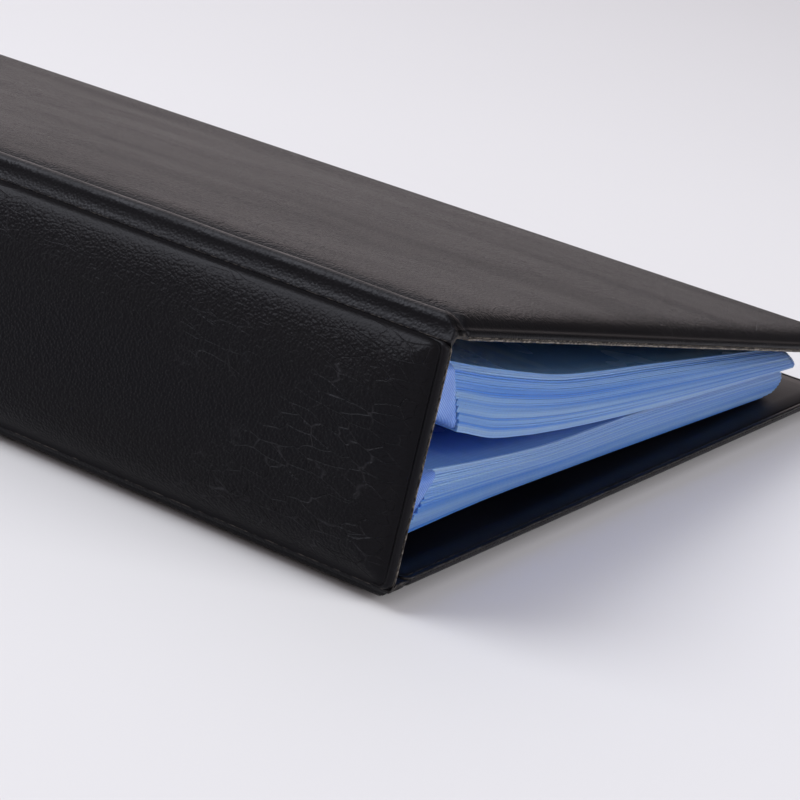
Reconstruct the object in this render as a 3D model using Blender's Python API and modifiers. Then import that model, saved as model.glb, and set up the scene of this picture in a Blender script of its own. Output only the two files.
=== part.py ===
"""Coin album lying shut on its back cover, as an assembly of separate pieces.

Two padded covers and a padded spine are joined by two hinge strips. Two fused binding blocks on
the spine carry twenty pocket leaves. Run with: blender --background --python part.py
Lengths are in metres. X runs from the spine to the fore edge, Y along the spine and Z up. The
origin is the middle of the back cover's resting face.
"""

import math

import bmesh
import bpy
from mathutils import Vector

# Case
COVER_DEPTH = 0.188  # from a hinge line to the fore edge
COVER_LENGTH = 0.262  # along the spine
HINGE_SPACING = 0.043  # from the back hinge line to the front one
FORE_EDGE_GAP = 0.0089  # between the covers' inner faces at the fore edge
CORNER_RADIUS = 0.007  # covers' corners at the fore edge
SQUARE_RADIUS = 0.0015  # corners beside a hinge

# Layers of a padded panel, from the inside out
LINER_THICKNESS = 0.0004
BOARD_THICKNESS = 0.0018
FOAM_THICKNESS = 0.0009
SKIN_THICKNESS = 0.0005
GAP = 0.0003  # left between any two pieces that touch

# Welded edges and padded shoulders
HINGE_MARGIN = 0.0022  # from a hinge line to the panel beside it
FREE_FLANGE = 0.0026  # welded rim on the outside edges
HINGE_FLANGE = 0.0008  # welded rim beside a hinge
SHOULDER_WIDTHS = (0.0005, 0.0009, 0.0014, 0.0022)  # steps inwards, up the shoulder
SHOULDER_SHARES = (0.34, 0.30, 0.22, 0.14)  # of the padding's height, at each step
BOARD_INSET = 0.0018  # from the foot of the shoulder
FOAM_INSET = 0.0046
ARC_STEPS = 3  # faces in a rounded corner

# Hinge strips
STRIP_INNER_RADIUS = 0.0009
STRIP_OUTER_RADIUS = 0.0014
BEAD_RADIUS = 0.0019
STRIP_END_ANGLE = 38.0  # degrees, from each panel's inner face to the strip's end
BEAD_HALF_ANGLE = 46.0
STRIP_STEPS = 14

# Binding blocks, measured up the spine from the back hinge line and inwards from the spine
BLOCK_END_INSET = 0.006  # from the covers' ends to the ends of blocks and leaves
LOWER_FOOT = (0.0930 * HINGE_SPACING, 0.3488 * HINGE_SPACING)  # where it sits on the spine
UPPER_FOOT = (0.6326 * HINGE_SPACING, 0.8605 * HINGE_SPACING)
LOWER_REACH = (0.0100, 0.0193)  # how far its lowest and highest leaf are fused
UPPER_REACH = (0.0221, 0.0155)
LOWER_END = (0.1023 * HINGE_SPACING, 0.3581 * HINGE_SPACING)  # corners of its end face
UPPER_END = (0.5233 * HINGE_SPACING, 0.8233 * HINGE_SPACING)
BLOCK_SHOULDER = 0.55  # where along its reach a block starts to droop

# Leaves
LEAVES_PER_BLOCK = 10
LEAF_THICKNESS = 0.00026  # both films, at a pocket
SEAM_THICKNESS = 0.00016  # where the films are welded together
SEAM_WIDTH = 0.0026
POCKET_COLUMNS = 4
FORE_MARGIN = 0.0032  # welded edge outside the last column
TAB_LENGTH = 0.011  # bare film between the fused root and the first column
FORE_INSET = 0.0087  # from the fore edge of the covers to that of a leaf
LEAF_CORNER = 0.006
ROOT_STEPS = 3  # faces along the bare film
POCKET_STEPS = 3  # faces along one pocket

# How the leaves lie: places along the cover's depth, and heights as shares of the gap there
STATIONS = (0.20, 0.34, 0.55, 0.925)
LOWER_PILE = ((0.116, 0.117, 0.109, 0.045), (0.306, 0.286, 0.337, 0.400))
UPPER_PILE = ((0.472, 0.429, 0.421, 0.529), (0.777, 0.718, 0.739, 0.866))

# Derived
PANEL_THICKNESS = LINER_THICKNESS + BOARD_THICKNESS + FOAM_THICKNESS + SKIN_THICKNESS + 3 * GAP
FLANGE_THICKNESS = LINER_THICKNESS + GAP + SKIN_THICKNESS
WEDGE = 2 * math.asin((HINGE_SPACING - FORE_EDGE_GAP) / (2 * COVER_DEPTH))
LEAN = WEDGE / 2
BACK_HINGE = Vector((-COVER_DEPTH / 2, 0.0, PANEL_THICKNESS))
UP_SPINE = Vector((math.sin(LEAN), 0.0, math.cos(LEAN)))
OFF_SPINE = Vector((math.cos(LEAN), 0.0, -math.sin(LEAN)))
FRONT_HINGE = BACK_HINGE + HINGE_SPACING * UP_SPINE
LEAF_LENGTH = COVER_LENGTH - 2 * BLOCK_END_INSET


def clear_scene():
    """Removes every object of the startup scene."""
    for obj in list(bpy.data.objects):
        bpy.data.objects.remove(obj, do_unlink=True)


def make_material(name, colour, roughness):
    """A plain Principled material."""
    material = bpy.data.materials.new(name)
    material.use_nodes = True
    shader = material.node_tree.nodes["Principled BSDF"]
    shader.inputs["Base Color"].default_value = (*colour, 1.0)
    shader.inputs["Roughness"].default_value = roughness
    shader.inputs["Metallic"].default_value = 0.0
    return material


def add_object(name, bm, material, parent):
    """Turns a bmesh into an object of the album, under its parent."""
    bmesh.ops.recalc_face_normals(bm, faces=bm.faces)
    mesh = bpy.data.meshes.new(name)
    bm.to_mesh(mesh)
    bm.free()
    mesh.materials.append(material)
    obj = bpy.data.objects.new(name, mesh)
    obj.parent = parent
    bpy.data.collections["coin_album"].objects.link(obj)
    return obj


def add_empty(name, place, parent):
    """An empty that marks a hinge line."""
    empty = bpy.data.objects.new(name, None)
    empty.empty_display_size = 0.02
    empty.parent = parent
    empty.location = place if parent is None else place - parent.location
    bpy.data.collections["coin_album"].objects.link(empty)
    return empty


class Panel:
    """A padded panel. Its own X leaves the hinge line and its own Z points outwards."""

    def __init__(self, name, reach, second_hinge, turn, hinge, parent):
        self.name = name
        self.low = HINGE_MARGIN
        self.high = reach - (HINGE_MARGIN if second_hinge else 0.0)
        self.second_hinge = second_hinge
        self.turn = turn
        self.hinge = hinge
        self.parent = parent

    def outline(self, hinge_inset, free_inset):
        """Points of the rounded outline, moved in from the welded edge."""
        low = self.low + hinge_inset
        high = self.high - (hinge_inset if self.second_hinge else free_inset)
        side = COVER_LENGTH / 2 - free_inset
        outer = SQUARE_RADIUS if self.second_hinge else max(CORNER_RADIUS - free_inset, SQUARE_RADIUS)
        corners = (
            (high, side, outer, 0),
            (low, side, SQUARE_RADIUS, 1),
            (low, -side, SQUARE_RADIUS, 2),
            (high, -side, outer, 3),
        )
        points = []
        for x, y, radius, quarter in corners:
            centre_x = x - math.copysign(radius, x - (low + high) / 2)
            centre_y = y - math.copysign(radius, y)
            for step in range(ARC_STEPS + 1):
                angle = math.radians(90 * (quarter + step / ARC_STEPS))
                points.append((centre_x + radius * math.cos(angle), centre_y + radius * math.sin(angle)))
        return points

    def place(self, obj):
        """Stands a piece of this panel on its hinge line."""
        obj.rotation_euler = self.turn
        origin = self.parent.location if self.parent.parent is None else self.hinge
        obj.location = self.hinge - origin
        return obj

    def slab(self, layer, material, inset, low, high):
        """A flat layer between two heights above the inner face."""
        bm = bmesh.new()
        face = bm.faces.new([bm.verts.new((x, y, low)) for x, y in self.outline(inset, inset)])
        grown = bmesh.ops.extrude_face_region(bm, geom=[face])["geom"]
        top = [item for item in grown if isinstance(item, bmesh.types.BMVert)]
        bmesh.ops.translate(bm, verts=top, vec=(0.0, 0.0, high - low))
        return self.place(add_object(f"{self.name}_{layer}", bm, material, self.parent))

    def skin(self, material):
        """The outer skin: a welded rim, a rounded shoulder and a flat face, given its thickness."""
        bm = bmesh.new()
        height = FLANGE_THICKNESS
        loops = [[bm.verts.new((x, y, height)) for x, y in self.outline(0.0, 0.0)]]
        inset = 0.0
        for width, share in zip((0.0, *SHOULDER_WIDTHS), (0.0, *SHOULDER_SHARES)):
            inset += width
            height += share * (PANEL_THICKNESS - FLANGE_THICKNESS)
            points = self.outline(HINGE_FLANGE + inset, FREE_FLANGE + inset)
            loops.append([bm.verts.new((x, y, height)) for x, y in points])
        for lower, upper in zip(loops, loops[1:]):
            for i, start in enumerate(lower):
                after = (i + 1) % len(lower)
                bm.faces.new((start, lower[after], upper[after], upper[i]))
        bm.faces.new(loops[-1])
        obj = add_object(f"{self.name}_skin", bm, material, self.parent)
        shell = obj.modifiers.new("skin thickness", "SOLIDIFY")
        shell.thickness = SKIN_THICKNESS
        shell.offset = -1.0
        shell.use_even_offset = True
        return self.place(obj)

    def build(self, materials):
        """All four layers."""
        board_low = LINER_THICKNESS + GAP
        board_high = board_low + BOARD_THICKNESS
        foam_low = board_high + GAP
        foam_inset = FREE_FLANGE + FOAM_INSET
        self.skin(materials["skin"])
        self.slab("foam", materials["foam"], foam_inset, foam_low, foam_low + FOAM_THICKNESS)
        self.slab("board", materials["board"], FREE_FLANGE + BOARD_INSET, board_low, board_high)
        self.slab("liner", materials["liner"], 0.0, 0.0, LINER_THICKNESS)


def extrude_section(name, section, length, material, parent, pivot):
    """A closed section in XZ drawn out along Y, with its origin on the pivot."""
    bm = bmesh.new()
    corners = [(point.x - pivot.x, -length / 2, point.z - pivot.z) for point in section]
    face = bm.faces.new([bm.verts.new(corner) for corner in corners])
    grown = bmesh.ops.extrude_face_region(bm, geom=[face])["geom"]
    far = [item for item in grown if isinstance(item, bmesh.types.BMVert)]
    bmesh.ops.translate(bm, verts=far, vec=(0.0, length, 0.0))
    obj = add_object(name, bm, material, parent)
    obj.location = pivot - parent.location
    return obj


def hinge_strip(name, hinge, first_face, sweep, material, parent):
    """The strip with its bead, bent round a hinge line outside the two panels' inner faces."""
    start = first_face + math.radians(STRIP_END_ANGLE)
    span = sweep - 2 * math.radians(STRIP_END_ANGLE)
    outer, inner = [], []
    for step in range(STRIP_STEPS + 1):
        angle = start + span * step / STRIP_STEPS
        off_middle = abs(math.degrees(angle - start - span / 2))
        swell = math.cos(math.pi / 2 * min(off_middle / BEAD_HALF_ANGLE, 1.0))
        radius = STRIP_OUTER_RADIUS + (BEAD_RADIUS - STRIP_OUTER_RADIUS) * swell
        direction = Vector((math.cos(angle), 0.0, math.sin(angle)))
        outer.append(hinge + radius * direction)
        inner.append(hinge + STRIP_INNER_RADIUS * direction)
    return extrude_section(name, outer + inner[::-1], COVER_LENGTH, material, parent, hinge)


def on_spine(height, reach):
    """The point at this height up the spine and this far in from its inner face."""
    return BACK_HINGE + height * UP_SPINE + reach * OFF_SPINE


def binding_block(name, foot, end, reach, material, parent):
    """The fused roots of one block of leaves."""
    low_bend = on_spine(foot[0] + (end[0] - foot[0]) * BLOCK_SHOULDER**2, reach[0] * BLOCK_SHOULDER)
    high_bend = on_spine(foot[1] + (end[1] - foot[1]) * BLOCK_SHOULDER**2, reach[1] * BLOCK_SHOULDER)
    section = [
        on_spine(foot[0], GAP),
        low_bend,
        on_spine(end[0], reach[0]),
        on_spine(end[1], reach[1]),
        high_bend,
        on_spine(foot[1], GAP),
    ]
    return extrude_section(name, section, LEAF_LENGTH, material, parent, on_spine(foot[0], GAP))


def gap_height(x, share):
    """The height at a share of the way from the back cover's liner to the front cover's."""
    ceiling = FRONT_HINGE.z - math.tan(WEDGE) * (x - FRONT_HINGE.x)
    return BACK_HINGE.z + share * (ceiling - BACK_HINGE.z)


def smooth_through(knots, x):
    """A smooth curve's height at x: cubic pieces through the knots, straight past the last one."""
    slopes = []
    for i in range(len(knots)):
        before, after = knots[max(i - 1, 0)], knots[min(i + 1, len(knots) - 1)]
        slopes.append((after[1] - before[1]) / (after[0] - before[0]))
    for i in range(len(knots) - 1):
        (x0, z0), (x1, z1) = knots[i], knots[i + 1]
        if x <= x1:
            t = (x - x0) / (x1 - x0)
            bend = (2 * t**3 - 3 * t**2 + 1) * z0 + (3 * t**2 - 2 * t**3) * z1
            return bend + (x1 - x0) * ((t**3 - 2 * t**2 + t) * slopes[i] + (t**3 - t**2) * slopes[i + 1])
    return knots[-1][1] + slopes[-1] * (x - knots[-1][0])


def leaf_stops():
    """(distance along the leaf, thickness) at each point of its section."""
    stops = [(0.0, SEAM_THICKNESS)]
    for step in range(1, ROOT_STEPS):
        stops.append((TAB_LENGTH * step / ROOT_STEPS, SEAM_THICKNESS))
    width = COVER_DEPTH - FORE_INSET - UPPER_REACH[0] - FORE_MARGIN - TAB_LENGTH
    pitch = (width + SEAM_WIDTH) / POCKET_COLUMNS
    for column in range(POCKET_COLUMNS):
        start = TAB_LENGTH + column * pitch
        end = start + pitch - SEAM_WIDTH
        slope = (LEAF_THICKNESS - SEAM_THICKNESS) * 2
        stops.append((start, SEAM_THICKNESS))
        for step in range(POCKET_STEPS + 1):
            place = start + slope + (end - start - 2 * slope) * step / POCKET_STEPS
            stops.append((place, LEAF_THICKNESS))
        stops.append((end, SEAM_THICKNESS))
    stops.append((TAB_LENGTH + width + FORE_MARGIN, SEAM_THICKNESS))
    return stops


def walk_curve(knots, distances):
    """Points and directions at these distances along the smooth curve from its first knot."""
    step = 0.0002
    x, travelled = knots[0][0], 0.0
    found = []
    for distance in distances:
        while travelled < distance:
            rise = smooth_through(knots, x + step) - smooth_through(knots, x)
            share = min(1.0, (distance - travelled) / math.hypot(step, rise))
            x += step * share
            travelled += math.hypot(step, rise) * share
            if share < 1.0:
                travelled = distance
        slope = (smooth_through(knots, x + step) - smooth_through(knots, x)) / step
        along = Vector((1.0, 0.0, slope)).normalized()
        found.append((Vector((x, 0.0, smooth_through(knots, x))), along))
    return found


def leaf(number, knots, material, parent):
    """One leaf: two films welded round four columns of pockets, with its origin at its root."""
    stops = leaf_stops()
    walked = walk_curve(knots, [distance for distance, _ in stops])
    above, below = [], []
    for (place, along), (_, thickness) in zip(walked, stops):
        across = Vector((-along.z, 0.0, along.x))
        above.append(place + across * thickness / 2)
        below.append(place - across * thickness / 2)
    section = below + above[::-1]
    root = walked[0][0]
    obj = extrude_section(f"leaf_{number:02d}", section, LEAF_LENGTH, material, parent, root)
    round_fore_corners(obj)
    return obj


def round_fore_corners(obj):
    """Rounds the two corners of a leaf at the fore edge."""
    bm = bmesh.new()
    bm.from_mesh(obj.data)
    reach = max(vert.co.x for vert in bm.verts)
    corners = []
    for edge in bm.edges:
        first, second = edge.verts
        at_fore_edge = min(first.co.x, second.co.x) > reach - SEAM_THICKNESS
        if at_fore_edge and abs(first.co.y - second.co.y) < GAP / 10:
            corners.append(edge)
    bmesh.ops.bevel(bm, geom=corners, offset=LEAF_CORNER, segments=ARC_STEPS, profile=0.5, affect="EDGES")
    bm.to_mesh(obj.data)
    bm.free()


def block_of_leaves(first_number, end, reach, pile, material, parent):
    """Ten leaves fanned between a block's end face and the places where they settle."""
    for place in range(LEAVES_PER_BLOCK):
        share = (place + 0.5) / LEAVES_PER_BLOCK
        height = end[0] + (end[1] - end[0]) * share
        root = on_spine(height, reach[0] + (reach[1] - reach[0]) * share + GAP)
        knots = [(root.x, root.z)]
        lie = place / (LEAVES_PER_BLOCK - 1)
        for i, station in enumerate(STATIONS):
            x = BACK_HINGE.x + station * COVER_DEPTH
            knots.append((x, gap_height(x, pile[0][i] + (pile[1][i] - pile[0][i]) * lie)))
        leaf(first_number + place, knots, material, parent)


def main():
    """Builds the album."""
    clear_scene()
    bpy.context.scene.collection.children.link(bpy.data.collections.new("coin_album"))
    materials = {
        "skin": make_material("black_leatherette", (0.016, 0.016, 0.018), 0.45),
        "foam": make_material("foam", (0.42, 0.41, 0.38), 0.95),
        "board": make_material("greyboard", (0.30, 0.27, 0.23), 0.9),
        "liner": make_material("black_liner", (0.010, 0.011, 0.018), 0.4),
        "strip": make_material("hinge_film", (0.014, 0.014, 0.016), 0.3),
        "block": make_material("fused_pvc", (0.34, 0.50, 0.86), 0.35),
        "leaf": make_material("blue_pvc", (0.20, 0.38, 0.82), 0.2),
    }
    album = add_empty("album_origin", Vector((0.0, 0.0, 0.0)), None)
    back_axis = add_empty("back_hinge_axis", BACK_HINGE, album)
    front_axis = add_empty("front_hinge_axis", FRONT_HINGE, album)
    spine_turn = (0.0, LEAN - math.pi / 2, 0.0)
    Panel("back_cover", COVER_DEPTH, False, (math.pi, 0.0, 0.0), BACK_HINGE, album).build(materials)
    Panel("spine", HINGE_SPACING, True, spine_turn, BACK_HINGE, back_axis).build(materials)
    Panel("front_cover", COVER_DEPTH, False, (0.0, WEDGE, 0.0), FRONT_HINGE, front_axis).build(materials)
    around = 1.5 * math.pi + LEAN
    up_face = math.pi / 2 - LEAN
    hinge_strip("back_hinge_strip", BACK_HINGE, up_face, around, materials["strip"], back_axis)
    hinge_strip("front_hinge_strip", FRONT_HINGE, -WEDGE, around, materials["strip"], front_axis)
    blocks = (
        ("lower_binding_block", 1, LOWER_FOOT, LOWER_END, LOWER_REACH, LOWER_PILE),
        ("upper_binding_block", 1 + LEAVES_PER_BLOCK, UPPER_FOOT, UPPER_END, UPPER_REACH, UPPER_PILE),
    )
    for name, first_number, foot, end, reach, pile in blocks:
        binding_block(name, foot, end, reach, materials["block"], back_axis)
        block_of_leaves(first_number, end, reach, pile, materials["leaf"], back_axis)


if __name__ == "__main__":
    main()
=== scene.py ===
"""Looks of a coin album that lies shut on its back cover.

The padded covers and spine, the hinge strips, the fused binding blocks and the pocket leaves are
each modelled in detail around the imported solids, in metres, in the same frame: X runs from the
spine to the fore edge, Y along the spine and Z up.
"""

import logging
import math
import random
from dataclasses import dataclass
from enum import Enum
from typing import Iterable, Sequence

import bmesh
import bpy
import numpy as np
from mathutils import Matrix, Vector

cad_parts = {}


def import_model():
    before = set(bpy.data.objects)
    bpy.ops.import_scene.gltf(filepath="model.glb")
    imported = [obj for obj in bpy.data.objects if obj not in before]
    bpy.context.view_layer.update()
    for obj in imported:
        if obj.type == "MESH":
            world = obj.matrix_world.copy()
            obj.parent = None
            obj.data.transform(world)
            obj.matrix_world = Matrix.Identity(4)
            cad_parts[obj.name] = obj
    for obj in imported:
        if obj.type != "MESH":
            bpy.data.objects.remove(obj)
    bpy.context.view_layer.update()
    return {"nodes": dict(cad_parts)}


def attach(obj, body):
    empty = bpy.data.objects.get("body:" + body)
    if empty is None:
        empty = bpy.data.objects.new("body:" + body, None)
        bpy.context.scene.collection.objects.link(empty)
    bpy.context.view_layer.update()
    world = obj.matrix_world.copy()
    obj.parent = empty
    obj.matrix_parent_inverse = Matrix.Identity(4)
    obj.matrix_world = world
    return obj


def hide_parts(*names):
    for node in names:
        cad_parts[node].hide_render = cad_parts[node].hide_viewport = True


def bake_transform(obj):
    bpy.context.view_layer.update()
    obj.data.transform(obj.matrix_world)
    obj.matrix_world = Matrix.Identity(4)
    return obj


LOG = logging.getLogger("coin_album")
Colour = tuple[float, float, float]
Pairs = tuple[tuple[float, float], ...]
Socket = bpy.types.NodeSocket


class Side(Enum):
    """Which block of leaves a leaf belongs to."""

    LOWER = "lower"
    UPPER = "upper"


@dataclass(frozen=True)
class AlbumSizes:
    """The album's driving sizes, and the hinge lines that follow from them."""

    cover_depth: float = 0.188
    cover_length: float = 0.262
    hinge_spacing: float = 0.043
    fore_edge_gap: float = 0.0089
    corner_radius: float = 0.007
    square_radius: float = 0.0015
    spine_margins: tuple[float, float] = (-0.0012, 0.0005)
    cover_margin: float = 0.0036
    panel_thickness: float = 0.0045
    liner_thickness: float = 0.0004
    block_end_inset: float = 0.006
    leaf_fore_inset: float = 0.0087
    leaf_root_inset: float = 0.0221

    @property
    def wedge(self) -> float:
        """Angle between the two covers, in radians."""
        return 2 * math.asin((self.hinge_spacing - self.fore_edge_gap) / (2 * self.cover_depth))

    @property
    def lean(self) -> float:
        """Angle by which the spine leans towards the fore edge, in radians."""
        return self.wedge / 2

    @property
    def back_hinge(self) -> Vector:
        """Middle of the back hinge line."""
        return Vector((-self.cover_depth / 2, 0.0, self.panel_thickness))

    @property
    def up_spine(self) -> Vector:
        """Direction up the spine."""
        return Vector((math.sin(self.lean), 0.0, math.cos(self.lean)))

    @property
    def off_spine(self) -> Vector:
        """Direction from the spine into the album."""
        return Vector((math.cos(self.lean), 0.0, -math.sin(self.lean)))

    @property
    def front_hinge(self) -> Vector:
        """Middle of the front hinge line."""
        return self.back_hinge + self.hinge_spacing * self.up_spine

    @property
    def leaf_length(self) -> float:
        """Length of a leaf along the spine."""
        return self.cover_length - 2 * self.block_end_inset

    @property
    def leaf_width(self) -> float:
        """Width of a leaf from its root to its fore edge."""
        return self.cover_depth - self.leaf_fore_inset - self.leaf_root_inset

    def on_spine(self, height: float, reach: float) -> Vector:
        """Finds a point by its height up the spine and its reach inwards.

        Args:
            height: distance up the spine from the back hinge line.
            reach: distance into the album from the spine's inner face.

        Returns:
            The point.
        """
        return self.back_hinge + height * self.up_spine + reach * self.off_spine

    def gap_height(self, x: float, share: float) -> float:
        """Finds a height between the two covers.

        Args:
            x: place across the album.
            share: 0 at the back cover's liner, 1 at the front cover's.

        Returns:
            The height above the table.
        """
        ceiling = self.front_hinge.z - math.tan(self.wedge) * (x - self.front_hinge.x)
        return self.back_hinge.z + share * (ceiling - self.back_hinge.z)


# ---- Bench: selecting, placing and lofting, as by hand


def deselect_all() -> None:
    """Leaves nothing selected."""
    if bpy.context.object is not None and bpy.context.object.mode != "OBJECT":
        bpy.ops.object.mode_set(mode="OBJECT")
    bpy.ops.object.select_all(action="DESELECT")


def take_up(obj: bpy.types.Object) -> None:
    """Selects one object alone and makes it active."""
    deselect_all()
    obj.select_set(True)
    bpy.context.view_layer.objects.active = obj


def settle(obj: bpy.types.Object, place: Matrix) -> None:
    """Puts a finished piece in its place and leaves its origin at the world's."""
    obj.matrix_world = place
    take_up(obj)
    bpy.ops.object.transform_apply(location=True, rotation=True, scale=True)


def smooth(obj: bpy.types.Object, angle: float) -> None:
    """Shades a piece smooth, with a crease where faces meet at more than this angle in degrees."""
    take_up(obj)
    bpy.ops.object.shade_smooth_by_angle(angle=math.radians(angle))


def paint(obj: bpy.types.Object, name: str, values: Sequence[float]) -> None:
    """Stores one number for each vertex of a piece, for its material to read by name."""
    layer = obj.data.attributes.new(name, "FLOAT", "POINT")
    layer.data.foreach_set("value", np.asarray(values, np.float32))


def points_of(obj: bpy.types.Object) -> np.ndarray:
    """The places of a piece's vertices, one row each."""
    co = np.empty(len(obj.data.vertices) * 3)
    obj.data.vertices.foreach_get("co", co)
    return co.reshape(-1, 3)


def move_points(obj: bpy.types.Object, co: np.ndarray) -> None:
    """Moves a piece's vertices to new places."""
    obj.data.vertices.foreach_set("co", co.ravel())
    obj.data.update()


def apply_modifier(obj: bpy.types.Object, kind: str, **settings: object) -> None:
    """Puts a modifier on a piece and applies it.

    Args:
        obj: the piece.
        kind: the modifier's type.
        **settings: its properties.
    """
    modifier = obj.modifiers.new(kind.lower(), kind)
    for name, value in settings.items():
        setattr(modifier, name, value)
    take_up(obj)
    bpy.ops.object.modifier_apply(modifier=modifier.name)


def sines(rng: random.Random, count: int, *spans: tuple[float, float]) -> list[tuple[float, ...]]:
    """Draws waves one by one, each with one number from every span."""
    return [tuple(rng.uniform(low, high) for low, high in spans) for _ in range(count)]


class Loft:
    """A skin drawn out from ring to ring, starting from a circle."""

    def __init__(self, name: str, ring: Sequence[Vector]) -> None:
        """Adds a circle and lays its corners on the first ring.

        Args:
            name: the piece's name.
            ring: the first ring's points.
        """
        deselect_all()
        bpy.ops.mesh.primitive_circle_add(vertices=len(ring), radius=0.01, fill_type="NOTHING")
        self.obj = bpy.context.object
        self.obj.name = name
        self.obj.data.name = name
        for vertex, point in zip(self.obj.data.vertices, ring):
            vertex.co = point
        order = self.obj.data.attributes.new("order", "INT", "POINT")
        order.data.foreach_set("value", np.arange(len(ring), dtype=np.int32))
        self.obj.data.attributes.new("ring", "INT", "POINT")
        self.rings = 1
        bpy.ops.object.mode_set(mode="EDIT")
        bpy.ops.mesh.select_all(action="SELECT")

    def draw_to(self, ring: Sequence[Vector]) -> None:
        """Extrudes the open edge and lays it on the next ring's points, in the same order."""
        bpy.ops.mesh.extrude_edges_move()
        mesh = bmesh.from_edit_mesh(self.obj.data)
        order = mesh.verts.layers.int["order"]
        rings = mesh.verts.layers.int["ring"]
        for vert in mesh.verts:
            if vert.select:
                vert.co = ring[vert[order]]
                vert[rings] = self.rings
        bmesh.update_edit_mesh(self.obj.data)
        self.rings += 1

    def cap(self) -> None:
        """Closes the open edge that is selected."""
        bpy.ops.mesh.edge_face_add()

    def cap_first(self) -> None:
        """Closes the first ring."""
        bpy.ops.mesh.select_all(action="DESELECT")
        mesh = bmesh.from_edit_mesh(self.obj.data)
        rings = mesh.verts.layers.int["ring"]
        for edge in mesh.edges:
            if edge.verts[0][rings] == 0 and edge.verts[1][rings] == 0:
                edge.select_set(True)
        bmesh.update_edit_mesh(self.obj.data)
        bpy.ops.mesh.edge_face_add()

    def done(self) -> bpy.types.Object:
        """Points the faces outwards and returns the piece, in object mode."""
        bpy.ops.mesh.select_all(action="SELECT")
        bpy.ops.mesh.normals_make_consistent(inside=False)
        bpy.ops.object.mode_set(mode="OBJECT")
        return self.obj

    def numbers(self, name: str) -> np.ndarray:
        """Each vertex's ring, or its order in the ring."""
        values = np.zeros(len(self.obj.data.vertices), np.int32)
        self.obj.data.attributes[name].data.foreach_get("value", values)
        return values


# ---- Finishes


class NodeSheet:
    """A node tree, with short ways to add and join its nodes."""

    def __init__(self, tree: bpy.types.NodeTree) -> None:
        """Takes up the tree."""
        self.tree = tree

    def add(self, kind: str, settings: dict | None = None, **inputs: object) -> bpy.types.Node:
        """Adds a node.

        Args:
            kind: the node's type.
            settings: its properties.
            **inputs: its sockets' values, or the sockets that feed them. A socket is named with
                underscores for spaces, or by an i and its number.

        Returns:
            The node.
        """
        node = self.tree.nodes.new(kind)
        for name, value in (settings or {}).items():
            setattr(node, name, value)
        for name, value in inputs.items():
            by_number = name[0] == "i" and name[1:].isdigit()
            self.put(value, node.inputs[int(name[1:]) if by_number else name.replace("_", " ")])
        return node

    def put(self, value: object, socket: Socket) -> None:
        """Sets a socket to a value, or joins another socket to it."""
        if isinstance(value, Socket):
            self.tree.links.new(value, socket)
        else:
            socket.default_value = value

    def spread(
        self, value: Socket, low: float, high: float, bottom: float = 0.0, top: float = 1.0
    ) -> Socket:
        """Maps a value's range from low and high to bottom and top, and holds it there."""
        node = self.add("ShaderNodeMapRange", i0=value, i1=low, i2=high, i3=bottom, i4=top)
        return node.outputs[0]

    def sum(self, operation: str, first: object, second: object) -> Socket:
        """One step of arithmetic on two values."""
        return self.add("ShaderNodeMath", {"operation": operation}, i0=first, i1=second).outputs[0]

    def times(self, first: object, second: object) -> Socket:
        """The product of two values."""
        return self.sum("MULTIPLY", first, second)

    def blend(self, share: Socket, first: object, second: object) -> Socket:
        """A mix of two colours by a share."""
        ends = [v if isinstance(v, Socket) else (*v, 1.0) for v in (first, second)]
        node = self.add("ShaderNodeMix", {"data_type": "RGBA"}, i0=share, i6=ends[0], i7=ends[1])
        return node.outputs[2]


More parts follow.
